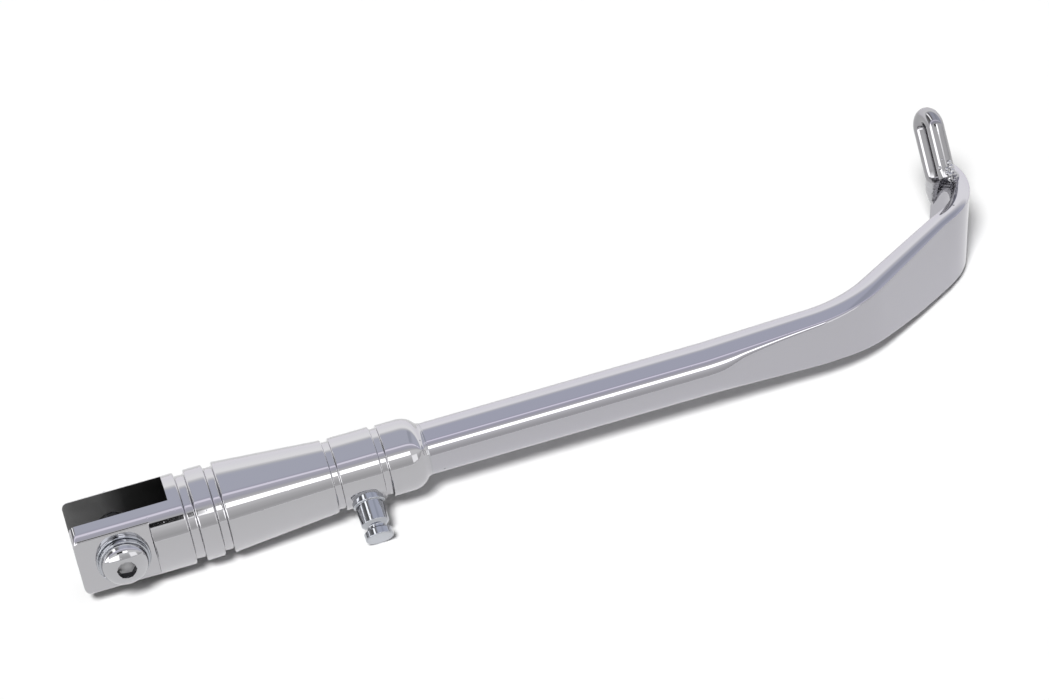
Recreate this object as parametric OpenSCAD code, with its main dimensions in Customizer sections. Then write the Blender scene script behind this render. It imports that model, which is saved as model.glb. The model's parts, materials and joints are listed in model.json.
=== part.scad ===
// Motorcycle kickstand: forked head, bent leg with a flattened foot, spring post,
// welded kick loop and pivot hardware. Millimetres. Origin where the pivot bolt's
// axis crosses the leg's axis. +X runs down the leg, +Z is up, the bolt head faces -Y.

/* [Part] */
// Sub-part to draw

/* [Fork head] */
// Diameter of the fork end
head_d = 31.75; // [28:0.05:36]
// Distance from the pivot axis to the ear ends
ear_reach = 15.15; // [12:0.05:20]
// Distance from the pivot axis to the bottom of the slot
slot_root = 18.3; // [15:0.1:24]
// Width of the slot between the ears
slot_w = 14.06; // [10:0.02:18]
// Width across the two flats milled on the ears
flat_w = 23.72; // [20:0.02:28]
// Where the flats stop
flat_end = 11.0; // [8:0.1:16]
// Radius left at the end of each flat
flat_fillet = 1.5; // [0.5:0.1:3]
// Radius turned on the ear ends
ear_round = 2.0; // [0.5:0.1:4]
// Diameter of the pivot holes
pivot_bore_d = 9.66; // [9.6:0.02:10.4]
// Diameter of the pivot holes' countersink inside the fork
countersink_d = 11.8; // [9.8:0.1:13]
// Diameter of the band that carries the spring post
band_d = 25.36; // [22:0.02:30]
// Diameter of the nose
nose_d = 25.0; // [20:0.1:28]
// Distance from the pivot axis to the end of the nose
nose_end = 107.4; // [100:0.1:120]

/* [Leg] */
// Diameter of the bar
bar_d = 18.0; // [14:0.1:22]
// Distance from the pivot axis to the bar's inner end, in the nose socket
bar_start = 89.4; // [86:0.5:98]
// Length along the bar to the first bend
bend1_start = 246.24; // [220:0.1:270]
// Centre-line radius of the first bend
bend1_r = 44.4; // [25:0.1:90]
// Direction of the foot after the first bend, in degrees
bend1_angle = 35.1; // [20:0.1:50]
// Straight length between the bends
mid_len = 43.3; // [20:0.1:60]
// Centre-line radius of the second bend
bend2_r = 25.2; // [15:0.1:50]
// Direction of the tip after the second bend, in degrees
bend2_angle = 105.0; // [80:0.5:115]
// Straight length at the tip
tip_len = 6.9; // [3:0.1:15]
// Half-thickness of the blade at the tip
tip_half_t = 2.0; // [1.5:0.05:4]
// Twist of the blade at the tip, in degrees
tip_twist = 11.3; // [0:0.1:20]

/* [Spring post] */
// Distance from the pivot axis to the post
post_x = 84.05; // [80:0.05:88]
// Tilt of the post below the horizontal, in degrees
post_tilt = 33.3; // [0:0.1:45]
// Diameter of the post and of its head
post_d = 9.7; // [7:0.1:12]
// Diameter of the groove that holds the spring hook
post_neck_d = 7.0; // [5:0.1:9]
// Diameter of the flange
post_flange_d = 11.2; // [9:0.1:14]

/* [Kick loop] */
// Diameter of the loop's rod
rod_d = 6.35; // [5:0.05:8]
// Spacing of the loop's two legs, centre to centre
loop_spacing = 8.5; // [7:0.1:14]
// Lean of the loop from the tip's own direction, in degrees
loop_lean = 59; // [40:1:80]
// Height of the bend centre along the loop
loop_bend = 22.0; // [15:0.5:35]

/* [Pivot hardware] */
// Diameter of the bolt shank
bolt_d = 9.525; // [9.4:0.005:9.6]
// Diameter of the button head
bolt_head_d = 15.9; // [14:0.02:18]
// Height of the button head
bolt_head_h = 4.4; // [4:0.01:6]
// Length of the bolt under its head
bolt_len = 34.9; // [30:0.1:40]
// Size across flats of the hex socket
socket_af = 6.0; // [5:0.01:6.5]
// Thickness of the flat washer
flat_washer_t = 1.15; // [1:0.05:2.5]
// Thickness of the lock washer
lock_washer_t = 2.05; // [1.5:0.05:3]
// Size across flats of the jam nut
nut_af = 14.29; // [13:0.01:17]
// Thickness of the jam nut
nut_t = 4.8; // [4:0.1:6]

/* [Hidden] */
$fn = 96;
head_r = head_d / 2;
band_r = band_d / 2;
nose_r = nose_d / 2;
bar_r = bar_d / 2;
flat_y = flat_w / 2;
bore_r = pivot_bore_d / 2;
sink_r = countersink_d / 2;
slot_y = slot_w / 2;
seat_gap = 0.05;                       // running gap between the ears and the hardware
washer_y = flat_y + seat_gap;
lock_y = washer_y + flat_washer_t;
head_y = lock_y + lock_washer_t;       // underside of the bolt head
groove_edge = 0.6;                     // rounding of a groove's two edges
groove_root = 0.3;                     // rounding at a groove's floor
post_seat = 11.3;                      // distance of the flange's seat from the leg axis
flange_end = 13.7;                     // outer face of the flange
rod_r = rod_d / 2;

// Arc length at the start and end of each bend
s0 = bend1_start;
s1 = s0 + bend1_r * bend1_angle * PI / 180;
s2 = s1 + mid_len;
s3 = s2 + bend2_r * (bend2_angle - bend1_angle) * PI / 180;
s4 = s3 + tip_len;
facet_start = 207.8;                   // where the bar starts to flatten
knee = 253.0;                          // end of the long facet
blade = 296.8;                         // start of the full-height blade
p0 = [s0, 0];
p1 = p0 + bend1_r * [sin(bend1_angle), 1 - cos(bend1_angle)];
p2 = p1 + mid_len * [cos(bend1_angle), sin(bend1_angle)];
p3 = p2 + bend2_r * [sin(bend2_angle) - sin(bend1_angle), cos(bend1_angle) - cos(bend2_angle)];

// ---- path of the flattened foot ----
function heading(s) =
    s < s0 ? 0 :
    s < s1 ? (s - s0) / bend1_r * 180 / PI :
    s < s2 ? bend1_angle :
    s < s3 ? bend1_angle + (s - s2) / bend2_r * 180 / PI : bend2_angle;

function spine_xy(s) =
    s < s0 ? [s, 0] :
    s < s1 ? p0 + bend1_r * [sin(heading(s)), 1 - cos(heading(s))] :
    s < s2 ? p1 + (s - s1) * [cos(bend1_angle), sin(bend1_angle)] :
    s < s3 ? p2 + bend2_r * [sin(heading(s)) - sin(bend1_angle), cos(bend1_angle) - cos(heading(s))] :
    p3 + (s - s3) * [cos(bend2_angle), sin(bend2_angle)];

function spine(s) = let (q = spine_xy(s), u = max(0, (s - s0) / (s4 - s0))) [q.x, q.y, -0.7 * u * u];

function twist(s) = lookup(s, [[s2 - 5, 0], [(s2 + s3) / 2, 0.74 * tip_twist], [s4, tip_twist]]);
function across(s) = let (h = heading(s), k = twist(s))      // outward normal of the broad face
    [cos(k) * sin(h), -cos(k) * cos(h), -sin(k)];
function upward(s) = let (h = heading(s), k = twist(s))      // along the blade's height
    [sin(k) * sin(h), -sin(k) * cos(h), cos(k)];
function along(s) = [cos(heading(s)), sin(heading(s)), 0];

// ---- cross-section of the foot: a round bar pressed flat between two faces ----
function half_t(s) = s < facet_start ? 4 * bar_r :
    lookup(s, [[facet_start, 11], [facet_start + 14, 7.4], [knee, 5.5], [blade, 4.14], [s4, tip_half_t]]);
function half_h(s) = lookup(s, [[facet_start, bar_r], [knee, 10.5], [blade, 11.63], [s4, 13.1]]);
function lower_drop(s) = lookup(s, [[knee, 0], [blade, 4.05], [s4, 2.43]]);
function tip_inset(s) = let (u = max(0, (s - (s4 - 3)) / 3)) 3 * (1 - sqrt(max(0, 1 - u * u)));
function pressed(v, t) = v / pow(1 + pow(abs(v / t), 10), 0.1);
function foot_point(s, a) = let (
    v = pressed((bar_r - 0.01) * cos(a), half_t(s)),
    h = half_h(s) - 0.01 - tip_inset(s) + (sin(a) < 0 ? lower_drop(s) : 0))
    spine(s) + v * across(s) + h * sin(a) * upward(s);

module swept_foot() {
    sides = 48;
    stations = concat([for (s = [205.4:2.6:244.4]) s], [for (s = [245.4:2.05:s4 - 3.2]) s],
                      [for (a = [0:18:90]) s4 - 3 + 3 * sin(a)]);
    n = len(stations);
    pts = concat([for (s = stations) for (i = [0:sides - 1]) foot_point(s, 360 * i / sides)],
                 [spine(stations[0]), spine(s4)]);
    skin = [for (j = [0:n - 2]) for (i = [0:sides - 1]) let (k = (i + 1) % sides,
            a = j * sides + i, b = j * sides + k, c = a + sides, d = b + sides)
            each [[a, b, c], [b, d, c]]];
    near_cap = [for (i = [0:sides - 1]) [(i + 1) % sides, i, n * sides]];
    far_cap = [for (i = [0:sides - 1]) let (a = (n - 1) * sides) [a + i, a + (i + 1) % sides, n * sides + 1]];
    polyhedron(pts, concat(skin, near_cap, far_cap));
}

// ---- helpers ----
module along_x() rotate([0, 90, 0]) children();
module facing_bolt_head() rotate([90, 0, 0]) children();     // local +Z points to -Y
module at_post() translate([post_x, 0, 0]) rotate([90 + post_tilt, 0, 0]) children();
module at_tip() {                                            // X along the tip, Y up the blade
    t = along(s4); w = upward(s4); m = across(s4); p = spine(s4);
    multmatrix([[t.x, w.x, m.x, p.x], [t.y, w.y, m.y, p.y], [t.z, w.z, m.z, p.z], [0, 0, 0, 1]])
        children();
}
module bead(p, r) translate(p) sphere(r = r);

// Points of a rounded corner, turning from angle a to angle b about (radius r, distance x)
function corner(r, x, e, a, b) =
    [for (k = [0:5]) let (w = a + (b - a) * k / 5) [r + e * cos(w), x + e * sin(w)]];

// One turned groove from x = a to x = b, between radii ra and rb, floor radius rg
function groove(a, b, ra, rg, rb) = let (e = groove_edge, f = groove_root) concat(
    corner(ra - e, a - e, e, 0, 90), corner(rg + f, a + f, f, 270, 180),
    corner(rg + f, b - f, f, 180, 90), corner(rb - e, b + e, e, -90, 0));

// The nose narrows in an S curve between control points
function nose_curve(t) = let (u = 1 - t)
    u * u * u * [nose_r, nose_end - 7.5] + 3 * u * u * t * [nose_r, nose_end - 1.8]
    + 3 * u * t * t * [9.2, nose_end - 1.6] + t * t * t * [9.2, nose_end];

head_profile = concat(
    [[0, -ear_reach]],
    corner(head_r - ear_round, ear_round - ear_reach, ear_round, -90, 0),
    groove(23.5, 26.8, head_r, 14.5, head_r),
    groove(33.4, 36.5, head_r, 14.45, head_r),
    groove(73.9, 76.4, 12.74, 11.8, band_r),
    groove(90.7, 93.2, band_r, 11.65, nose_r),
    [for (t = [0:0.1:1]) nose_curve(t)], [[0, nose_end]]);

// ---- sub-parts ----
module fork_head() color([0.80, 0.80, 0.82]) difference() {
    along_x() rotate_extrude() polygon(head_profile);
    translate([-20, -slot_y, -20]) cube([20 + slot_root, slot_w, 40]);
    for (side = [-1, 1]) scale([1, side, 1]) {
        translate([-20, flat_y, -20]) cube([20 + flat_end - flat_fillet, 10, 40]);
        translate([-20, flat_y + flat_fillet, -20]) cube([20 + flat_end, 10, 40]);
        translate([flat_end - flat_fillet, flat_y + flat_fillet, -20]) cylinder(r = flat_fillet, h = 40);
    }
    rotate([90, 0, 0]) rotate_extrude() polygon([[0, -20], [bore_r, -20], [bore_r, bore_r - sink_r - slot_y],
        [sink_r, -slot_y], [sink_r, slot_y], [bore_r, slot_y + sink_r - bore_r], [bore_r, 20], [0, 20]]);
    translate([bar_start - 1, 0, 0]) along_x() cylinder(r = bar_r + 0.01, h = 30);
    at_post() {
        translate([0, 0, 6.5]) cylinder(r = 3.01, h = 10);
        translate([0, 0, post_seat]) cylinder(d = post_flange_d + 0.02, h = 10);
    }
}

module leg_bar() color([0.80, 0.80, 0.82]) {
    translate([bar_start, 0, 0]) along_x() cylinder(r = bar_r, h = 206.4 - bar_start);
    swept_foot();
}

module nose_braze_ring() color([0.62, 0.62, 0.64])
    translate([nose_end, 0, 0]) along_x() rotate_extrude()
        polygon([[bar_r, 0], [9.2, 0], [9.12, 0.2], [bar_r + 0.05, 0.45], [bar_r, 0.7]]);

module spring_post() color([0.70, 0.74, 0.80]) at_post() rotate_extrude()
    polygon([[0, 7], [3, 7], [3, post_seat], [post_flange_d / 2, post_seat],
             [post_flange_d / 2, flange_end - 0.4], [post_flange_d / 2 - 0.4, flange_end],
             [post_d / 2, flange_end],
             [post_d / 2, 20.7], [post_neck_d / 2 + 0.3, 21.9], [post_neck_d / 2, 22.2],
             [post_neck_d / 2, 22.9], [post_neck_d / 2 + 0.3, 23.2], [post_d / 2, 23.7],
             [post_d / 2, 25.9], [post_d / 2 - 0.4, 26.3], [0, 26.3]]);

module kick_loop() color([0.80, 0.80, 0.82]) at_tip()
    translate([0, 0, -tip_half_t - rod_r - 0.3]) rotate([0, 0, loop_lean]) translate([0, 13.55, 0]) {
        translate([loop_bend, 0, 0]) rotate([0, 0, -90]) rotate_extrude(angle = 180)
            translate([loop_spacing / 2, 0]) circle(r = rod_r);
        translate([3.5, loop_spacing / 2, 0]) along_x() cylinder(r = rod_r, h = loop_bend - 3.5);
        translate([5.2, -loop_spacing / 2, 0]) along_x() cylinder(r = rod_r, h = loop_bend - 5.2);
        translate([5.2, -loop_spacing / 2, 0]) sphere(r = rod_r);
    }

module upper_loop_weld() color([0.62, 0.62, 0.64]) at_tip() {
    bead([-12.8, 10.9, -3.4], 2.2);
    bead([-14.6, 12.6, -3.6], 1.9);
    bead([-10.6, 12.2, -3.4], 1.8);
    bead([-9.2, 13.2, -4.6], 1.1);
    bead([-14.9, 14.2, -4.4], 1.5);
    bead([-15.1, 15.6, -5.1], 1.1);
    bead([-14.3, 16.8, -5.6], 1.0);
    bead([-13.4, 17.9, -5.8], 0.8);
}

module lower_loop_weld() color([0.62, 0.62, 0.64]) at_tip() {
    bead([-5.4, 8.4, -4.9], 3.1);
    bead([-4.0, 5.8, -4.4], 3.2);
    bead([-2.6, 2.8, -3.6], 2.9);
    bead([-1.6, 0, -2.8], 2.35);
    bead([-1.1, -2.6, -2.2], 1.7);
    bead([-0.9, -4.6, -1.6], 1.1);
}

module pivot_bolt() color([0.78, 0.78, 0.80]) facing_bolt_head() difference() {
    rotate_extrude() polygon(concat(
        [[0, head_y - bolt_len], [bolt_d / 2 - 0.9, head_y - bolt_len],
         [bolt_d / 2, head_y - bolt_len + 0.9], [bolt_d / 2, head_y],
         [bolt_head_d / 2 - 0.15, head_y], [bolt_head_d / 2, head_y + 0.3]],
        [for (a = [6:6:90]) [bolt_head_d / 2 * cos(a), head_y + 0.3 + (bolt_head_h - 0.3) * sin(a)]]));
    translate([0, 0, head_y + bolt_head_h - 3.1]) rotate([0, 0, -7])
        cylinder(d = socket_af / cos(30), h = 5, $fn = 6);
    translate([0, 0, head_y + bolt_head_h - 0.7])
        cylinder(r1 = socket_af / 2 + 0.05, r2 = socket_af / 2 + 0.95, h = 0.9);
}

module lock_washer() color([0.72, 0.73, 0.76]) facing_bolt_head()
    translate([0, 0, lock_y]) difference() {
        rotate_extrude() translate([4.95, 0]) square([3.7, lock_washer_t]);
        rotate([0, 0, 200]) translate([7, 0, lock_washer_t / 2]) rotate([25, 0, 0])
            cube([6, 0.9, 8], center = true);
    }

module flat_washer() color([0.74, 0.75, 0.78]) facing_bolt_head()
    translate([0, 0, washer_y]) rotate_extrude()
        polygon([[5.15, 0], [9.1, 0], [9.25, 0.15], [9.25, flat_washer_t - 0.15],
                 [9.1, flat_washer_t], [5.15, flat_washer_t]]);

module jam_nut() color([0.74, 0.75, 0.78]) rotate([-90, 0, 0]) translate([0, 0, washer_y])
    difference() {
        intersection() {
            rotate([0, 0, 30]) cylinder(d = nut_af / cos(30), h = nut_t, $fn = 6);
            rotate_extrude()
                polygon([[0, 0], [7.2, 0], [8.4, 0.7], [8.4, nut_t - 0.7], [7.2, nut_t], [0, nut_t]]);
        }
        translate([0, 0, -1]) cylinder(r = bolt_d / 2 + 0.02, h = nut_t + 2);
    }

fork_head();
leg_bar();
nose_braze_ring();
spring_post();
kick_loop();
upper_loop_weld();
lower_loop_weld();
pivot_bolt();
lock_washer();
flat_washer();
jam_nut();
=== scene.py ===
import json
import math

import bmesh
import bpy
from mathutils import Matrix, Vector
from mathutils.bvhtree import BVHTree
from mathutils.geometry import barycentric_transform


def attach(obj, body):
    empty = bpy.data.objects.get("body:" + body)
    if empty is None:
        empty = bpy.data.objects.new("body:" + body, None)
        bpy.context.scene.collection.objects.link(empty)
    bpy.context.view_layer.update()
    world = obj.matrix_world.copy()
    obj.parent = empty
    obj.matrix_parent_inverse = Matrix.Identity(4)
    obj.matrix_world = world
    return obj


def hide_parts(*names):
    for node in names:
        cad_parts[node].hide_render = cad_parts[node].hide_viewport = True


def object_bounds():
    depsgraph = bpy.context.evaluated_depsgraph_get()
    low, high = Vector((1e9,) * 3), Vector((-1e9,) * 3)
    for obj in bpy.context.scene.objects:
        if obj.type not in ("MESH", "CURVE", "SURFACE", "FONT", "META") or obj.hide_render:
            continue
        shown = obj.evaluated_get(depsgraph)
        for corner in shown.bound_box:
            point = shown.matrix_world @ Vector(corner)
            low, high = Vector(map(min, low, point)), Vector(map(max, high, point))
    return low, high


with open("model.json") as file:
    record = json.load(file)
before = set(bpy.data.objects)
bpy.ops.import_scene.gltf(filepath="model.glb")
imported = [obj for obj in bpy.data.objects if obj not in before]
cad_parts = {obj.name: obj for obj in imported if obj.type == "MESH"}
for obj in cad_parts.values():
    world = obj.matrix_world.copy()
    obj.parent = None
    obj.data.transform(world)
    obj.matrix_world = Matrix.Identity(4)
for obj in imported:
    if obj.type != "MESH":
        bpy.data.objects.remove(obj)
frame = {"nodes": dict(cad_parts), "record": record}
cad_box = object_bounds()
MM = 0.001

# ---------------------------------------------------------------- dimensions, in millimetres
# fork head: distances along X from the pivot, radii, and half widths along Y
HEAD_R, EAR_REACH, EAR_CORNER, SLOT_ROOT, SLOT_Y = 15.875, 15.15, 2.0, 18.3, 7.03
FLAT_Y, FLAT_END, FLAT_FILLET, FLAT_BRIM, BRIM_ROUND = 11.86, 11.0, 0.35, 15.4, 0.3
BORE_R, SINK_R = 4.83, 5.9
BAND_R, NOSE_R, NOSE_END, NOSE_CURVE, NOSE_MOUTH_R = 12.68, 12.5, 107.4, 7.5, 9.2
TAPER_END_R = 12.74
# grooves: start, end, radius before, floor radius, radius after, rounding of all four corners
GROOVES = ((23.5, 26.8, HEAD_R, 14.5, HEAD_R, 0.62), (33.4, 36.5, HEAD_R, 14.45, HEAD_R, 0.62),
           (73.9, 76.4, TAPER_END_R, 11.8, BAND_R, 0.36), (90.7, 93.2, BAND_R, 11.65, NOSE_R, 0.36))
# leg bar: S0 to S4 are lengths along its centre line where bends begin and end
BAR_R, BAR_START = 9.0, 89.4
BEND1_START, BEND1_R, BEND1_ANGLE = 246.24, 44.4, math.radians(35.1)
MID_LEN = 43.3
BEND2_R, BEND2_ANGLE = 25.2, math.radians(105.0)
TIP_LEN, TIP_HALF_T, TIP_TWIST, TIP_CORNER = 6.9, 2.0, math.radians(11.3), 3.0
FOOT_SAG = 0.7
S0 = BEND1_START
S1 = S0 + BEND1_R * BEND1_ANGLE
S2 = S1 + MID_LEN
S3 = S2 + BEND2_R * (BEND2_ANGLE - BEND1_ANGLE)
S4 = S3 + TIP_LEN
FACET_START, KNEE, BLADE = 207.8, 253.0, 296.8
# spring post: radii, and heights from the head's axis
POST_X, POST_TILT, POST_R, POST_NECK_R, POST_FLANGE_R = 84.05, math.radians(33.3), 4.85, 3.5, 5.6
POST_SPIGOT_R, POST_SEAT, POST_FLANGE_START, POST_FLANGE_END = 3.0, 7.0, 11.3, 13.7
POST_SHAFT_END, POST_NECK_START, POST_NECK_END, POST_HEAD_START, POST_END = 20.7, 22.1, 23.0, 23.7, 26.3
# kick loop
ROD_R, LOOP_SPACING, LOOP_LEAN, LOOP_BEND, LOOP_RISE = 3.175, 8.5, math.radians(59), 22.0, 13.55
LOOP_GAP = 0.3
# pivot hardware: distances from the pivot towards the bolt's head
WASHER_Y, WASHER_R, FLAT_WASHER_T, LOCK_WASHER_R, LOCK_WASHER_T = 11.91, 9.25, 1.15, 8.65, 2.05
LOCK_Y = WASHER_Y + FLAT_WASHER_T
BOLT_HEAD_Y = LOCK_Y + LOCK_WASHER_T
BOLT_R, BOLT_LEN, BOLT_HEAD_R, BOLT_HEAD_H = 4.7625, 34.9, 7.95, 4.4
SOCKET_AF, SOCKET_DEPTH, SOCKET_TURN = 6.0, 3.1, 7.0


# ---------------------------------------------------------------- materials
def new_material(name, base, metallic, roughness):
    mat = bpy.data.materials.new(name)
    mat.use_nodes = True
    shader = mat.node_tree.nodes["Principled BSDF"]
    shader.inputs["Base Color"].default_value = (*base, 1)
    shader.inputs["Metallic"].default_value = metallic
    shader.inputs["Roughness"].default_value = roughness
    return mat, mat.node_tree, shader


def node(tree, kind, **inputs):
    n = tree.nodes.new(kind)
    for key, value in inputs.items():
        n.inputs[key.replace("_", " ")].default_value = value
    return n


def rgba(shade):
    """A grey level or an (r, g, b) colour, as four numbers."""
    return (*shade, 1) if isinstance(shade, tuple) else (shade, shade, shade, 1)


def ramp(tree, stops):
    n = tree.nodes.new("ShaderNodeValToRGB")
    elements = n.color_ramp.elements
    elements[0].position, elements[0].color = stops[0][0], rgba(stops[0][1])
    elements[1].position, elements[1].color = stops[-1][0], rgba(stops[-1][1])
    for position, shade in stops[1:-1]:
        elements.new(position).color = rgba(shade)
    return n


PIT_SCALE, SPECK_SCALE = 900, 70.0


def plated(name, base, rough, rough_spread, wave, wave_scale, pit, specks=False):
    """Polished plate: slow waviness from hand polishing, tiny pits, a little change in gloss and, if
    asked for, a few dark specks. wave and pit are depths in metres."""
    mat, tree, shader = new_material(name, base, 1.0, rough)
    link = tree.links.new
    coords = node(tree, "ShaderNodeTexCoord")
    slow = node(tree, "ShaderNodeTexNoise", Scale=wave_scale, Detail=2.0, Roughness=0.4)
    link(coords.outputs["Object"], slow.inputs["Vector"])
    fine = node(tree, "ShaderNodeTexNoise", Scale=PIT_SCALE, Detail=1.0, Roughness=0.5)
    link(coords.outputs["Object"], fine.inputs["Vector"])
    pits = ramp(tree, [(0.0, 0.0), (0.24, 0.0), (0.30, 1.0), (1.0, 1.0)])
    link(fine.outputs["Fac"], pits.inputs["Fac"])
    gloss = ramp(tree, [(0.35, rough), (0.7, rough + rough_spread)])
    link(slow.outputs["Fac"], gloss.inputs["Fac"])
    link(gloss.outputs["Color"], shader.inputs["Roughness"])
    wavy = node(tree, "ShaderNodeBump", Strength=1.0, Distance=wave)
    link(slow.outputs["Fac"], wavy.inputs["Height"])
    pitted = node(tree, "ShaderNodeBump", Strength=1.0, Distance=pit)
    link(pits.outputs["Color"], pitted.inputs["Height"])
    link(wavy.outputs["Normal"], pitted.inputs["Normal"])
    link(pitted.outputs["Normal"], shader.inputs["Normal"])
    if specks:
        cells = node(tree, "ShaderNodeTexVoronoi", Scale=SPECK_SCALE)
        link(coords.outputs["Object"], cells.inputs["Vector"])
        dark = tuple(0.35 * v for v in base)
        dots = ramp(tree, [(0.0, dark), (0.018, dark), (0.04, base), (1.0, base)])
        link(cells.outputs["Distance"], dots.inputs["Fac"])
        link(dots.outputs["Color"], shader.inputs["Base Color"])
    return mat


def chrome(name, base):
    return plated(name, base, 0.012, 0.025, 0.00002, 55, 0.000003, specks=True)


CHROME = chrome("chrome_plate", (0.44, 0.436, 0.452))
# A darker, bluer copy of the chrome for the leg and foot: the lilac tone is a painted reflection tint.
BAR_CHROME_PAINTED_TINT = chrome("bar_chrome_painted_reflection_tint", (0.424, 0.418, 0.448))
# A darker copy of the chrome for the kick loop: painted shade, so the rods reflect greyer.
LOOP_CHROME_PAINTED_SHADE = chrome("loop_chrome_painted_shade", (0.325, 0.322, 0.334))
BOLT = plated("bolt_chrome", (0.44, 0.44, 0.455), 0.02, 0.05, 0.00004, 190, 0.00001)
ZINC = plated("bright_zinc", (0.40, 0.412, 0.44), 0.02, 0.05, 0.00004, 260, 0.00001)
WELD = plated("chromed_weld", (0.44, 0.44, 0.455), 0.05, 0.06, 0.0003, 420, 0.00003)
SEAM = plated("chromed_seam", (0.40, 0.40, 0.42), 0.08, 0.06, 0.0001, 420, 0.00003)
# Dull, thinly plated walls of the slot; their dark colour is painted shade in the recess.
PAINTED_SHADE_SLOT_WALL = plated("slot_wall_painted_shade", (0.12, 0.12, 0.118), 0.34, 0.20, 0.0002, 160, 0.00003)
BORE = plated("bore_rim", (0.34, 0.34, 0.335), 0.30, 0.15, 0.0001, 300, 0.00003)
# Near black walls of the hex socket: painted shade in the recess.
PAINTED_SHADE_SOCKET_WALL = plated("socket_wall_painted_shade", (0.05, 0.05, 0.055), 0.30, 0.20, 0.0001, 300, 0.00003)
SOCKET_FLOOR = plated("socket_floor", (0.42, 0.42, 0.43), 0.35, 0.20, 0.0002, 900, 0.00005)
for dull_mat, metal_share in ((PAINTED_SHADE_SLOT_WALL, 0.45), (BORE, 0.5), (SOCKET_FLOOR, 0.5)):
    dull_mat.node_tree.nodes["Principled BSDF"].inputs["Metallic"].default_value = metal_share


def paint_slot_shade(mat):
    """Thin, dull plate in the slot, with painted shade: the colour runs from grey at the open end to near black
    at the root, where the slot is deepest.
    """
    tree = mat.node_tree
    coords = node(tree, "ShaderNodeTexCoord")
    split = node(tree, "ShaderNodeSeparateXYZ")
    span = node(tree, "ShaderNodeMapRange", From_Min=-EAR_REACH * MM, From_Max=SLOT_ROOT * MM)
    # Painted shade: darker towards the slot's root.
    painted_shade_ramp = ramp(tree, [(0.0, 0.125), (0.40, 0.10), (0.62, 0.02), (1.0, 0.006)])
    tree.links.new(coords.outputs["Object"], split.inputs["Vector"])
    tree.links.new(split.outputs["X"], span.inputs["Value"])
    tree.links.new(span.outputs["Result"], painted_shade_ramp.inputs["Fac"])
    tree.links.new(painted_shade_ramp.outputs["Color"], tree.nodes["Principled BSDF"].inputs["Base Color"])


# Painted shade inside the slot, deepest at its root.
paint_slot_shade(PAINTED_SHADE_SLOT_WALL)
MATERIALS = {"chrome": CHROME, "bolt_steel": BOLT, "zinc": ZINC, "weld": WELD, "braze": SEAM}

slot_of = {s["node"]: s["material_slot"] for s in frame["record"]["subparts"]}
for name, obj in frame["nodes"].items():
    mat = MATERIALS[slot_of[name]]
    if not obj.material_slots:
        obj.data.materials.append(mat)
    for s in obj.material_slots:
        s.material = mat


# ---------------------------------------------------------------- mesh helpers
def add_object(name, mesh_or_bm, *materials, smooth=True):
    if isinstance(mesh_or_bm, bmesh.types.BMesh):
        mesh = bpy.data.meshes.new(name)
        bmesh.ops.recalc_face_normals(mesh_or_bm, faces=mesh_or_bm.faces)
        mesh_or_bm.to_mesh(mesh)
        mesh_or_bm.free()
    else:
        mesh = mesh_or_bm
    obj = bpy.data.objects.new(name, mesh)
    bpy.context.scene.collection.objects.link(obj)
    for material in materials:
        mesh.materials.append(material)
    for poly in mesh.polygons:
        poly.use_smooth = smooth
    return obj


def skin_rings(rings, place=Matrix.Identity(4), closed_ends=True, material=0):
    """A BMesh skin over rings of points (millimetres)."""
    bm = bmesh.new()
    grid = [[bm.verts.new((place @ Vector(p)) * MM) for p in ring] for ring in rings]
    n = len(grid[0])
    for a, b in zip(grid, grid[1:]):
        for i in range(n):
            k = (i + 1) % n
            bm.faces.new((a[i], a[k], b[k], b[i]))
    if closed_ends:
        bm.faces.new(grid[0])
        bm.faces.new(grid[-1])
    for face in bm.faces:
        face.material_index = material
    return bm


def rounded(points, steps=8, support=0.05):
    """Profile points (radius, height) from corners (radius, height, rounding): every corner becomes
    an arc, with one more point close to each end of it so that the shading stays crisp."""
    out = [Vector(points[0][:2])]
    for before, here, after in zip(points, points[1:], points[2:]):
        p = Vector(here[:2])
        d0, d1 = (p - Vector(before[:2])).normalized(), (Vector(after[:2]) - p).normalized()
        turn = d0.angle_signed(d1)
        if here[2] <= 0 or abs(turn) < 1e-4:
            out.append(p)
            continue
        reach = here[2] * math.tan(abs(turn) / 2)
        start, end = p - d0 * reach, p + d1 * reach
        side = -1 if turn > 0 else 1
        centre = start + Vector((-d0.y, d0.x)) * here[2] * side
        out.append(start - d0 * support)
        for k in range(steps + 1):
            spoke = start - centre
            spoke.rotate(Matrix.Rotation(-turn * k / steps, 2))
            out.append(centre + spoke)
        out.append(end + d1 * support)
    out.append(Vector(points[-1][:2]))
    return out


def lathe_rings(profile, sides=160):
    """Rings about local Z, from (radius, height) points. A point on the axis gets a tiny radius."""
    turns = [2 * math.pi * i / sides for i in range(sides)]
    return [[(max(r, 0.01) * math.cos(a), max(r, 0.01) * math.sin(a), h) for a in turns] for r, h in profile]


def finish_piece(obj, node_name, body):
    """Lets obj ride a body and stand for the CAD node of that name."""
    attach(obj, body)
    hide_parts(node_name)


def smooth_source(obj):
    """What is needed to look up an object's smooth normals later: a search tree, triangles and normals."""
    mesh = obj.data
    mesh.calc_loop_triangles()
    verts = [v.co.copy() for v in mesh.vertices]
    normals = [v.normal.copy() for v in mesh.vertices]
    tris = [tuple(t.vertices) for t in mesh.loop_triangles]
    return BVHTree.FromPolygons(verts, tris), verts, normals, tris


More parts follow.
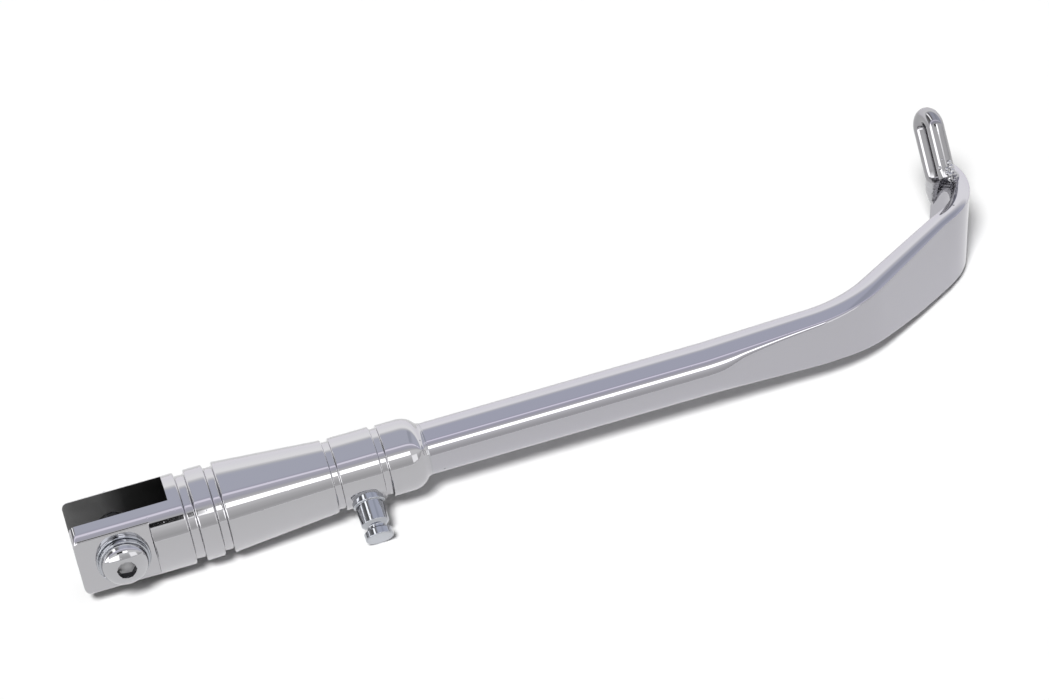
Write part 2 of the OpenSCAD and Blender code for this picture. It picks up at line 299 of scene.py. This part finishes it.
def cut(obj, cutters):
    """Takes each cutter away from obj. A cutter's own material index goes onto the faces it leaves.
    The faces of the outer skin (index 0) and of round cutters keep the smooth normals they had."""
    sources = {0: (smooth_source(obj), 1)}
    for cutter, index, is_round in cutters:
        if is_round:
            sources[index] = (smooth_source(cutter), -1)
        mod = obj.modifiers.new("cut", "BOOLEAN")
        mod.operation, mod.solver, mod.object, mod.material_mode = "DIFFERENCE", "EXACT", cutter, "INDEX"
    mesh = freeze(obj)
    for cutter, _, _ in cutters:
        bpy.data.objects.remove(cutter)
    for poly in mesh.polygons:
        poly.use_smooth = True
    loop_normals = [None] * len(mesh.loops)
    for poly in mesh.polygons:
        source = sources.get(poly.material_index)
        for li in poly.loop_indices:
            if source is None:
                loop_normals[li] = poly.normal.copy()
                continue
            (tree, verts, normals, tris), sign = source
            co = mesh.vertices[mesh.loops[li].vertex_index].co
            spot, _, tri, _ = tree.find_nearest(co)
            a, b, c = tris[tri]
            n = barycentric_transform(spot, verts[a], verts[b], verts[c], normals[a], normals[b], normals[c])
            loop_normals[li] = (n * sign).normalized()
    mesh.normals_split_custom_set(loop_normals)


def freeze(obj):
    """Applies obj's modifiers to its mesh."""
    bpy.context.view_layer.update()
    mesh = bpy.data.meshes.new_from_object(obj.evaluated_get(bpy.context.evaluated_depsgraph_get()))
    obj.modifiers.clear()
    obj.data = mesh
    return mesh


ALONG_X = Matrix(((0, 0, 1, 0), (0, 1, 0, 0), (-1, 0, 0, 0), (0, 0, 0, 1)))       # local Z to +X
FACING_BOLT_HEAD = Matrix.Rotation(math.radians(90), 4, "X")                       # local Z to -Y


def lathe(name, profile, material, place, sides=160, index=0):
    return add_object(name, skin_rings(lathe_rings(profile, sides), place, material=index), material)


# ---------------------------------------------------------------- fork head
def soft_min(a, b, sharpness=90):
    """The smaller of a and b, with a small rounding where they are equal."""
    small, large = min(a, b), max(a, b)
    return small * (1 + (small / large) ** sharpness) ** (-1 / sharpness)


def groove(start, end, before, floor, after, rounding):
    """Corners of a square groove between two radii."""
    return [(before, start, rounding), (floor, start, rounding), (floor, end, rounding), (after, end, rounding)]


def nose_curve(t):
    """The nose's shoulder, a Bezier curve from its full radius down to where the bar enters."""
    u = 1 - t
    points = ((NOSE_R, NOSE_END - NOSE_CURVE), (NOSE_R, NOSE_END - 1.8), (NOSE_MOUTH_R, NOSE_END - 1.6),
              (NOSE_MOUTH_R, NOSE_END))
    weights = (u ** 3, 3 * u * u * t, 3 * u * t * t, t ** 3)
    return sum((w * Vector(p) for w, p in zip(weights, points)), Vector((0, 0)))


def head_profile():
    """(radius, X) down the outside of the head, before its flats and slot are cut."""
    corners = [(0, -EAR_REACH, 0), (HEAD_R, -EAR_REACH, EAR_CORNER)]
    for numbers in GROOVES:
        corners += groove(*numbers)
    corners.append((NOSE_R, NOSE_END - NOSE_CURVE, 0))
    return rounded(corners) + [nose_curve(k / 20) for k in range(1, 21)] + [Vector((NOSE_MOUTH_R - 1, NOSE_END))]


NO_FLAT = 1000.0                                           # a half width that cuts nothing


def flat_stations():
    """(radius, X, flat's half width) along the ears: the flats, the fillet at their end, the all but
    upright wall up to the full radius and the wall's rounded brim."""
    stations = [(HEAD_R, x, FLAT_Y) for x in (-12, -8, -4, 0, 4, 8, 9.6, 10.2)]
    for k in range(13):
        a = math.radians(7.5 * k)
        stations.append((HEAD_R, FLAT_END - FLAT_FILLET + FLAT_FILLET * math.sin(a),
                         FLAT_Y + FLAT_FILLET * (1 - math.cos(a))))
    wall_foot = FLAT_Y + FLAT_FILLET
    for k in range(1, 9):
        stations.append((HEAD_R, FLAT_END + 0.001 * k, wall_foot + (FLAT_BRIM - wall_foot) * k / 8))
    for k in range(1, 7):
        a = math.radians(15 * k)
        stations.append((HEAD_R, FLAT_END + 0.01 + BRIM_ROUND * math.sin(a), FLAT_BRIM + 0.5 * (1 - math.cos(a))))
    return stations + [(HEAD_R, x, NO_FLAT) for x in (11.45, 12.0, 15.0, 18.0, 21.0)]


def build_fork_head():
    profile = head_profile()
    stations = []
    for p, q in zip(profile, profile[1:] + [None]):
        stations.append((p.x, p.y, FLAT_Y if p.y < FLAT_END - FLAT_FILLET else NO_FLAT))
        if q is not None and p.y < 0 and q.y > FLAT_END:
            stations += flat_stations()
    edge = math.degrees(math.acos(FLAT_Y / HEAD_R))        # where a flat meets the round, from -Y or +Y
    turns = [3.0 * i for i in range(120)]                  # degrees, with finer steps across those edges
    for centre in (edge, 180 - edge, 180 + edge, 360 - edge):
        turns = [a for a in turns if abs(a - centre) > 3.5] + [centre + 0.35 * k for k in range(-10, 11)]
    turns.sort()
    rings = []
    for r, x, flat in stations:
        ring = []
        for a in turns:
            c, s = math.cos(math.radians(a)), math.sin(math.radians(a))
            rho = soft_min(max(r, 0.02), flat / max(abs(c), 1e-6))
            ring.append((x, rho * c, rho * s))
        rings.append(ring)
    head = add_object("fork_head_chrome", skin_rings(rings), CHROME, PAINTED_SHADE_SLOT_WALL, BORE)
    box = bmesh.new()
    past = 20                                              # how far the cutters reach past the head
    place = Matrix.Translation(Vector(((SLOT_ROOT - past) / 2, 0, 0)) * MM)
    bmesh.ops.create_cube(box, size=1.0, matrix=place @ Matrix.Diagonal(
        Vector((SLOT_ROOT + past, 2 * SLOT_Y, 44, 1)) * MM).to_4x4())
    for face in box.faces:
        face.material_index = 1
    slot = add_object("slot_cutter", box, CHROME, PAINTED_SHADE_SLOT_WALL, BORE)
    sink = SLOT_Y + SINK_R - BORE_R                        # where a 45 degree countersink ends in the ear
    bore_profile = rounded([
        (0, -past, 0), (BORE_R, -past, 0), (BORE_R, -sink, 0.1), (SINK_R, -SLOT_Y, 0.1),
        (SINK_R, SLOT_Y, 0.1), (BORE_R, sink, 0.1), (BORE_R, past, 0), (0, past, 0)])
    bore = lathe("bore_cutter", bore_profile, CHROME, FACING_BOLT_HEAD, sides=96, index=2)
    cut(head, [(slot, 1, False), (bore, 2, True)])
    finish_piece(head, "fork_head", "stand")


build_fork_head()


# ---------------------------------------------------------------- leg bar with its flattened foot
def smooth_lookup(s, table):
    """Value at s from (position, value) pairs, with flat-ended smooth slopes between them."""
    if s <= table[0][0]:
        return table[0][1]
    if s >= table[-1][0]:
        return table[-1][1]
    n = len(table)
    gaps = [(table[i + 1][1] - table[i][1]) / (table[i + 1][0] - table[i][0]) for i in range(n - 1)]
    slopes = [gaps[0]] + [
        0.0 if gaps[i - 1] * gaps[i] <= 0 else 2 * gaps[i - 1] * gaps[i] / (gaps[i - 1] + gaps[i])
        for i in range(1, n - 1)
    ] + [gaps[-1]]
    for i in range(n - 1):
        x0, y0 = table[i]
        x1, y1 = table[i + 1]
        if s <= x1:
            h = x1 - x0
            u = (s - x0) / h
            return ((1 + 2 * u) * (1 - u) ** 2 * y0 + u * (1 - u) ** 2 * h * slopes[i]
                    + u * u * (3 - 2 * u) * y1 + u * u * (u - 1) * h * slopes[i + 1])


def heading(s):
    """Direction of the centre line in the XY plane."""
    if s < S0:
        return 0.0
    if s < S1:
        return (s - S0) / BEND1_R
    if s < S2:
        return BEND1_ANGLE
    if s < S3:
        return BEND1_ANGLE + (s - S2) / BEND2_R
    return BEND2_ANGLE


def bar_half_t(s):
    """Half the pressed bar's thickness; much more than its radius where it is still round."""
    if s <= FACET_START:
        return 4 * BAR_R
    return smooth_lookup(s, [(FACET_START, 11), (FACET_START + 14, 7.4), (KNEE, 5.5), (BLADE, 4.14),
                             (S4, TIP_HALF_T)])


def bar_half_h(s):
    """Height of the bar's upper edge over its centre line."""
    return smooth_lookup(s, [(FACET_START, BAR_R), (KNEE, 10.5), (BLADE, 11.63), (S4, 13.1)])


def bar_drop(s):
    """How much lower the lower edge hangs than the upper edge stands high."""
    return smooth_lookup(s, [(KNEE, 0), (BLADE, 4.05), (S4, 2.43)])


def bar_twist(s):
    return smooth_lookup(s, [(S2 - 5, 0), ((S2 + S3) / 2, 0.74 * TIP_TWIST), (S4, TIP_TWIST)])


def foot_frame(s):
    """Unit vectors across the bar and up its side, turned with the bends and the blade's twist."""
    h, k = heading(s), bar_twist(s)
    across = Vector((math.cos(k) * math.sin(h), -math.cos(k) * math.cos(h), -math.sin(k)))
    upward = Vector((math.sin(k) * math.sin(h), -math.sin(k) * math.cos(h), math.cos(k)))
    return across, upward


def spine_points(stations):
    """Centre line at each station, by small steps along the heading."""
    points, s, x, y = [], 0.0, 0.0, 0.0
    for target in stations:
        steps = max(1, int((target - s) / 0.1))
        ds = (target - s) / steps
        for _ in range(steps):
            h = heading(s + ds / 2)
            x, y, s = x + math.cos(h) * ds, y + math.sin(h) * ds, s + ds
        u = max(0.0, (target - S0) / (S4 - S0))
        points.append(Vector((x, y, -FOOT_SAG * u * u)))
    return points


def tip_inset(s):
    """How far the edges draw in at s to round the tip's two corners."""
    u = max(0.0, (s - (S4 - TIP_CORNER)) / TIP_CORNER)
    return TIP_CORNER * (1 - math.sqrt(max(0.0, 1 - u * u)))


def press(v, t, crispness=16):
    """v held between -t and t, with a small rounding where it meets them."""
    return v / (1 + abs(v / t) ** crispness) ** (1 / crispness)


def build_leg():
    """Round bar, pressed flat from FACET_START on. Its rings lie closer together along the foot."""
    sides = 240
    stations = [BAR_START + 3.0 * i for i in range(36)] + [199 + 0.9 * i for i in range(169)]
    stations = [s for s in stations if s < S4 - TIP_CORNER - 0.1]
    stations += [S4 - TIP_CORNER + TIP_CORNER * math.sin(math.radians(a)) for a in range(0, 91, 9)]
    rings = []
    for s, centre in zip(stations, spine_points(stations)):
        across, upward = foot_frame(s)
        ring = []
        for i in range(sides):
            a = 2 * math.pi * i / sides
            v = press(BAR_R * math.cos(a), bar_half_t(s))
            h = bar_half_h(s) - tip_inset(s) + (bar_drop(s) if math.sin(a) < 0 else 0)
            ring.append(centre + across * v + upward * (h * math.sin(a)))
        rings.append(ring)
    leg = add_object("leg_bar_chrome", skin_rings(rings), BAR_CHROME_PAINTED_TINT)
    finish_piece(leg, "leg_bar", "stand")


build_leg()

AT_NOSE_END = Matrix.Translation((NOSE_END, 0, 0)) @ ALONG_X
seam = lathe("nose_seam", rounded([
    (BAR_R - 0.1, -0.3, 0), (BAR_R + 0.2, -0.1, 0.08), (BAR_R + 0.05, 0.45, 0.3), (BAR_R - 0.03, 0.7, 0)]),
    SEAM, AT_NOSE_END)
finish_piece(seam, "nose_braze_ring", "stand")

# ---------------------------------------------------------------- spring post
AT_POST = Matrix.Translation((POST_X, 0, 0)) @ Matrix.Rotation(math.radians(90) + POST_TILT, 4, "X")
post = lathe("spring_post_zinc", rounded([
    (0, POST_SEAT, 0), (POST_SPIGOT_R, POST_SEAT, 0.2), (POST_SPIGOT_R, POST_FLANGE_START - 0.3, 0.1),
    (POST_FLANGE_R, POST_FLANGE_START, 0.2), (POST_FLANGE_R, POST_FLANGE_END, 0.4),
    (POST_R, POST_FLANGE_END, 0.15), (POST_R, POST_SHAFT_END, 0.3), (POST_NECK_R, POST_NECK_START, 0.5),
    (POST_NECK_R, POST_NECK_END, 0.4), (POST_R, POST_HEAD_START, 0.3), (POST_R, POST_END, 0.45),
    (0, POST_END, 0)]), ZINC, AT_POST)
finish_piece(post, "spring_post", "stand")


# ---------------------------------------------------------------- kick loop and its welds
def tip_matrix():
    """Local X along the tip, Y up the blade, Z across it, at the tip's end."""
    across, upward = foot_frame(S4)
    along = Vector((math.cos(heading(S4)), math.sin(heading(S4)), 0))
    spot = spine_points([S4])[0]
    return Matrix((
        (along.x, upward.x, across.x, spot.x), (along.y, upward.y, across.y, spot.y),
        (along.z, upward.z, across.z, spot.z), (0, 0, 0, 1)))


AT_TIP = tip_matrix()


def build_kick_loop():
    """Round rod bent into a U, drawn flat and then laid beside the tip. The left leg's end is round,
    the right one's is cut square."""
    half, bend = LOOP_SPACING / 2, LOOP_BEND
    left_start, right_start, edge = 5.2, 3.5, 0.35
    centre_line = []                                       # (point, direction, radius)
    for k in range(10):                                    # round end of the left leg
        a = math.radians(90 * k / 10)
        centre_line.append((Vector((left_start - ROD_R * math.cos(a), -half)), Vector((1, 0)),
                            ROD_R * math.sin(a)))
    centre_line += [(Vector((left_start + (bend - left_start) * k / 6, -half)), Vector((1, 0)), ROD_R)
                    for k in range(6)]
    for k in range(37):
        a = math.radians(-90 + 180 * k / 36)
        centre_line.append((Vector((bend + half * math.cos(a), half * math.sin(a))),
                            Vector((-math.sin(a), math.cos(a))), ROD_R))
    centre_line += [(Vector((bend + (right_start + edge - bend) * k / 6, half)), Vector((-1, 0)), ROD_R)
                    for k in range(1, 7)]
    for k in range(1, 6):                                  # small rounding of the cut end
        a = math.radians(18 * k)
        centre_line.append((Vector((right_start + edge * (1 - math.sin(a)), half)), Vector((-1, 0)),
                            ROD_R - edge * (1 - math.cos(a))))
    centre_line.append((Vector((right_start, half)), Vector((-1, 0)), ROD_R - edge - 0.1))
    sides = 72
    rings = []
    for point, direction, radius in centre_line:
        side = Vector((-direction.y, direction.x))
        ring = []
        for i in range(sides):
            a = 2 * math.pi * i / sides
            p = point + side * (max(radius, 0.02) * math.cos(a))
            ring.append((p.x, p.y, max(radius, 0.02) * math.sin(a)))
        rings.append(ring)
    beside_tip = Matrix.Translation((0, 0, -TIP_HALF_T - ROD_R - LOOP_GAP))
    place = AT_TIP @ beside_tip @ Matrix.Rotation(LOOP_LEAN, 4, "Z") @ Matrix.Translation((0, LOOP_RISE, 0))
    loop = add_object("kick_loop_chrome", skin_rings(rings, place), LOOP_CHROME_PAINTED_SHADE)
    finish_piece(loop, "kick_loop", "stand")


build_kick_loop()


def build_weld(name, node_name, beads, voxel, smoothing):
    """A run of weld: round beads (x, y, z at the tip, radius) fused into one skin and softened."""
    bm = bmesh.new()
    for x, y, z, r in beads:
        bmesh.ops.create_icosphere(bm, subdivisions=4, radius=r * MM,
                                   matrix=Matrix.Translation((AT_TIP @ Vector((x, y, z))) * MM))
    weld = add_object(name, bm, WELD)
    remesh = weld.modifiers.new("fuse", "REMESH")
    remesh.mode, remesh.voxel_size = "VOXEL", voxel * MM
    soften = weld.modifiers.new("soften", "SMOOTH")
    soften.factor, soften.iterations = 0.5, smoothing
    mesh = freeze(weld)
    for poly in mesh.polygons:
        poly.use_smooth = True
    finish_piece(weld, node_name, "stand")


build_weld("upper_weld", "upper_loop_weld", [
    (-12.8, 11.3, -3.1, 1.7), (-14.6, 12.8, -3.3, 1.7), (-10.6, 12.4, -3.1, 1.6), (-15.0, 14.2, -4.2, 1.4),
    (-15.2, 15.5, -4.9, 1.05), (-14.4, 16.9, -5.1, 0.95), (-13.6, 18.1, -5.4, 0.95), (-14.3, 16.2, -6.8, 0.8),
    (-15.0, 14.9, -6.9, 0.75), (-15.7, 14.4, -6.0, 0.8), (-12.4, 16.1, -8.4, 0.75), (-12.3, 19.2, -7.6, 0.4)],
    0.16, 3)
build_weld("lower_weld", "lower_loop_weld", [
    (-5.0, 8.6, -5.2, 2.95), (-4.2, 7.2, -4.8, 2.9), (-3.5, 5.8, -4.4, 2.8), (-2.8, 4.3, -4.0, 2.7),
    (-2.2, 2.8, -3.6, 2.55), (-1.7, 1.4, -3.2, 2.35), (-1.4, 0, -2.8, 2.1), (-1.1, -1.3, -2.5, 1.85),
    (-1.0, -2.6, -2.2, 1.6), (-0.9, -3.6, -1.9, 1.35), (-0.8, -4.6, -1.6, 1.1)], 0.2, 16)


# ---------------------------------------------------------------- pivot hardware
def build_bolt():
    """Button-head bolt. Its socket is a hexagon with a dished mouth."""
    low, rim = BOLT_HEAD_Y - BOLT_LEN, BOLT_HEAD_Y + 0.3
    profile = rounded([
        (0, low, 0), (BOLT_R - 0.9, low, 0.1), (BOLT_R, low + 0.9, 0.1), (BOLT_R, BOLT_HEAD_Y, 0.1),
        (BOLT_HEAD_R - 0.02, BOLT_HEAD_Y, 0.25), (BOLT_HEAD_R, rim, 0)])
    profile += [Vector((BOLT_HEAD_R * math.cos(a), rim + (BOLT_HEAD_H - 0.3) * math.sin(a)))
                for a in (math.radians(2.25 * k) for k in range(1, 41))]
    bolt = lathe("pivot_bolt_chrome", profile, BOLT, FACING_BOLT_HEAD, sides=160)
    for material in (PAINTED_SHADE_SOCKET_WALL, BOLT, SOCKET_FLOOR):
        bolt.data.materials.append(material)
    top = BOLT_HEAD_Y + BOLT_HEAD_H
    corner = SOCKET_AF / 2 / math.cos(math.radians(30))
    turns = [math.radians(60 * k - SOCKET_TURN) for k in range(6)]
    rings = [[(corner * math.cos(a), corner * math.sin(a), h) for a in turns]
             for h in (top - SOCKET_DEPTH, top + 1)]
    # Index 1, the socket's walls, takes the near black painted shade material.
    hexagon = skin_rings(rings, FACING_BOLT_HEAD, material=1)
    hexagon.faces.ensure_lookup_table()
    hexagon.faces[-2].material_index = 3                   # the socket's floor
    socket = add_object("socket_cutter", hexagon, BOLT, PAINTED_SHADE_SOCKET_WALL, BOLT, SOCKET_FLOOR, smooth=False)
    mouth_profile = rounded([
        (0, top - 2.4, 0), (2.0, top - 2.2, 0), (SOCKET_AF / 2 - 0.1, top - 0.75, 0),
        (corner + 0.25, top + 0.2, 0), (0, top + 0.3, 0)])
    mouth = lathe("mouth_cutter", mouth_profile, BOLT, FACING_BOLT_HEAD, sides=96, index=2)
    cut(bolt, [(socket, 1, False), (mouth, 2, True)])
    finish_piece(bolt, "pivot_bolt", "pivot")


build_bolt()

WASHER_BORE_R = 5.15
washer = lathe("flat_washer_zinc", rounded([
    (WASHER_BORE_R, WASHER_Y, 0), (WASHER_R, WASHER_Y, 0.15), (WASHER_R, LOCK_Y, 0.25),
    (WASHER_BORE_R, LOCK_Y, 0.1), (WASHER_BORE_R, WASHER_Y, 0)]), ZINC, FACING_BOLT_HEAD)
finish_piece(washer, "flat_washer", "pivot")


def build_lock_washer():
    """Split spring washer: one turn of square section, rising by a little so that its ends part."""
    turns = 120
    inner, outer, thick, gap, rise = 4.95, LOCK_WASHER_R, LOCK_WASHER_T, 4.5, 0.35
    squeeze = (thick - rise) / thick
    section = rounded([(inner, 0.5 * thick, 0), (inner, 0, 0.25), (outer, 0, 0.25), (outer, thick, 0.3),
                       (inner, thick, 0.25), (inner, 0.5 * thick, 0)], steps=5)[:-1]
    rings = []
    for k in range(turns + 1):
        a = math.radians(200 + gap + (360 - 2 * gap) * k / turns)
        lift = rise * k / turns
        rings.append([(r * math.cos(a), r * math.sin(a), LOCK_Y + lift + h * squeeze) for r, h in section])
    lock = add_object("lock_washer_zinc", skin_rings(rings, FACING_BOLT_HEAD), ZINC)
    finish_piece(lock, "lock_washer", "pivot")


build_lock_washer()


# ---------------------------------------------------------------- floor, studio light, camera
def build_floor():
    """Plain pale floor just under the lowest point of the CAD."""
    mesh = bpy.data.meshes.new("floor")
    half, z = 6.0, cad_box[0][2] - 0.0002
    corners = [(-half, -half, z), (half, -half, z), (half, half, z), (-half, half, z)]
    mesh.from_pydata(corners, [], [(0, 1, 2, 3)])
    mat, tree, shader = new_material("pale_floor", (0.93, 0.93, 0.93), 0.0, 0.9)
    shader.inputs["Specular IOR Level"].default_value = 0.0
    add_object("floor", mesh, mat, smooth=False)


build_floor()


STUDIO_STRENGTH = 1.25


def build_studio():
    """A surround of plain cards, seen only in reflections. A place on it is a direction round the leg's
    axis (0 is behind the part, level; 90 is straight up; 180 is in front, level) and a position along
    the axis (-1 to 1). Overhead cards, a long strip light in front with a black flag at its end, low
    lamps at both sides and one lamp far left lie over the plain ones. Their places and strengths were
    fitted by brightness profiles to what the photographed chrome reflects."""
    world = bpy.data.worlds.new("studio")
    bpy.context.scene.world = world
    world.use_nodes = True
    world.cycles_visibility.diffuse = False
    tree = world.node_tree
    link = tree.links.new
    background = tree.nodes["Background"]
    coords = node(tree, "ShaderNodeTexCoord")
    split = node(tree, "ShaderNodeSeparateXYZ")
    link(coords.outputs["Generated"], split.inputs["Vector"])
    angle = tree.nodes.new("ShaderNodeMath")
    angle.operation = "ARCTAN2"
    link(split.outputs["Z"], angle.inputs[0])
    link(split.outputs["Y"], angle.inputs[1])
    turn = tree.nodes.new("ShaderNodeMath")
    turn.operation = "DIVIDE"
    turn.inputs[1].default_value = math.pi
    link(angle.outputs[0], turn.inputs[0])
    sideways = tree.nodes.new("ShaderNodeMath")
    sideways.operation = "MULTIPLY_ADD"
    sideways.inputs[1].default_value = 0.5
    sideways.inputs[2].default_value = 0.5
    link(split.outputs["X"], sideways.inputs[0])

    def around(stops):
        n = ramp(tree, [(a / 180, shade) for a, shade in stops])
        link(turn.outputs[0], n.inputs["Fac"])
        return n

    def across(stops):
        n = ramp(tree, [((x + 1) / 2, shade) for x, shade in stops])
        link(sideways.outputs[0], n.inputs["Fac"])
        return n

    def overlay(below, above, band, span=None):
        """Lays one colour over another in a band round the axis, or where it crosses a span along it."""
        mask = band.outputs["Color"]
        if span:
            product = tree.nodes.new("ShaderNodeMath")
            product.operation = "MULTIPLY"
            link(band.outputs["Color"], product.inputs[0])
            link(span.outputs["Color"], product.inputs[1])
            mask = product.outputs[0]
        n = tree.nodes.new("ShaderNodeMixRGB")
        link(mask, n.inputs["Fac"])
        link(below.outputs["Color"], n.inputs["Color1"])
        if isinstance(above, float):
            n.inputs["Color2"].default_value = rgba(above)
        else:
            link(above.outputs["Color"], n.inputs["Color2"])
        return n

    blue = (0.63, 0.65, 0.75)
    lilac = (1.14, 1.10, 1.24)
    cards = around([
        (0, (1.02, 1.00, 1.04)), (20, (1.12, 1.11, 1.15)), (40, 1.22), (47, 1.22), (51, 0.98),
        (56, (0.76, 0.77, 0.80)), (66, (0.63, 0.66, 0.75)), (108, (0.60, 0.61, 0.72)), (112, (0.57, 0.57, 0.67)),
        (113.5, lilac), (117, lilac), (118.5, (0.66, 0.65, 0.74)), (126, (0.58, 0.58, 0.66)), (133, 0.70),
        (136, 0.9), (154, 0.80), (160, 0.68), (173, 0.55), (178, 0.60), (180, 0.66)])
    overhead_band = around([(0, 0.0), (54, 0.0), (64, 1.0), (106, 1.0), (111, 0.0), (180, 0.0)])
    overhead = across([
        (-1, 0.5), (-0.8, 0.2), (-0.62, 0.12), (-0.52, 2.2), (-0.42, 2.2), (-0.38, 0.2), (-0.22, 0.35),
        (-0.06, blue), (0.42, blue), (0.48, (0.50, 0.52, 0.60)), (0.60, (0.52, 0.54, 0.62)), (0.72, blue),
        (1, blue)])
    strip_band = around([(0, 0.0), (136.5, 0.0), (138, 1.0), (147.5, 1.0), (149, 0.0), (180, 0.0)])
    strip = across([(-1, 0.9), (0.033, 0.9), (0.040, 3.0), (0.30, 3.0), (0.33, 0.9), (1, 0.9)])
    flag_band = around([(0, 0.0), (132.8, 0.0), (133.8, 1.0), (144.5, 1.0), (145.5, 0.0), (180, 0.0)])
    flag = across([(-1, 0.9), (-0.36, 0.9), (-0.32, 0.015), (0.033, 0.015), (0.040, 0.9), (1, 0.9)])
    flag_span = across([(-1, 0.0), (-0.36, 0.0), (-0.34, 1.0), (0.034, 1.0), (0.038, 0.0), (1, 0.0)])
    lamp_band = around([(0, 0.0), (112, 0.0), (118, 1.0), (166, 1.0), (172, 0.0), (180, 0.0)])
    lamp_span = across([(-1, 1.0), (-0.87, 1.0), (-0.84, 0.0), (1, 0.0)])
    low_band = around([(0, 0.0), (150, 0.0), (154, 1.0), (174, 1.0), (178, 0.0), (180, 0.0)])
    low_span = across([
        (-1, 0.0), (-0.84, 0.0), (-0.80, 1.0), (-0.24, 1.0), (-0.20, 0.0), (0.34, 0.0), (0.38, 1.0), (0.72, 1.0),
        (0.78, 0.0), (1, 0.0)])
    sky = overlay(cards, overhead, overhead_band)
    sky = overlay(sky, strip, strip_band)
    sky = overlay(sky, flag, flag_band, flag_span)
    low = across([(-1, 2.4), (-0.20, 2.4), (0.34, 1.4), (1, 1.4)])
    sky = overlay(sky, low, low_band, low_span)
    sky = overlay(sky, 3.0, lamp_band, lamp_span)
    link(sky.outputs["Color"], background.inputs["Color"])
    background.inputs["Strength"].default_value = STUDIO_STRENGTH


build_studio()


def add_sun(name, direction, soft_angle, strength):
    light = bpy.data.lights.new(name, "SUN")
    light.angle = math.radians(soft_angle)
    light.energy = strength
    obj = bpy.data.objects.new(name, light)
    obj.rotation_euler = Vector(direction).to_track_quat("Z", "Y").to_euler()
    obj.visible_glossy = False
    bpy.context.scene.collection.objects.link(obj)


add_sun("key_softbox", (-0.22, -0.61, 0.78), 15, 3.6)
add_sun("overhead_fill", (0.0, -0.2, 1.0), 150, 0.66)


def build_camera():
    """Long lens from the front and above. The pivot stands left of and below the view's axis, and lies
    0.6 mm further along the leg than when the camera was fitted to the photograph."""
    lens, distance = 137.27, 1339.65
    elevation, yaw, roll = math.radians(35.264), math.radians(7.065), math.radians(-15.925)
    pivot_left, pivot_below = 136.98, 62.98
    head_shift = Vector((-0.6, 0, 0))
    se, ce = math.sin(elevation), math.cos(elevation)
    base = Matrix(((1, 0, 0), (0, -se, -ce), (0, ce, -se)))
    cy, sy = math.cos(yaw), math.sin(yaw)
    cr, sr = math.cos(roll), math.sin(roll)
    turn = Matrix(((cr, -sr, 0), (sr, cr, 0), (0, 0, 1))) @ Matrix(((cy, 0, -sy), (0, 1, 0), (sy, 0, cy))) @ base
    place = -(turn.transposed() @ Vector((-pivot_left, pivot_below, distance))) + head_shift
    right, down, forward = turn
    data = bpy.data.cameras.new("camera")
    data.sensor_width, data.lens = 36.0, lens
    data.clip_start, data.clip_end = 0.05, 20
    obj = bpy.data.objects.new("camera", data)
    columns = Matrix((right, -Vector(down), -Vector(forward))).transposed()
    obj.matrix_world = Matrix.Translation(place * MM) @ columns.to_4x4()
    bpy.context.scene.collection.objects.link(obj)
    bpy.context.scene.camera = obj


build_camera()
bpy.context.scene.view_settings.view_transform = "Standard"
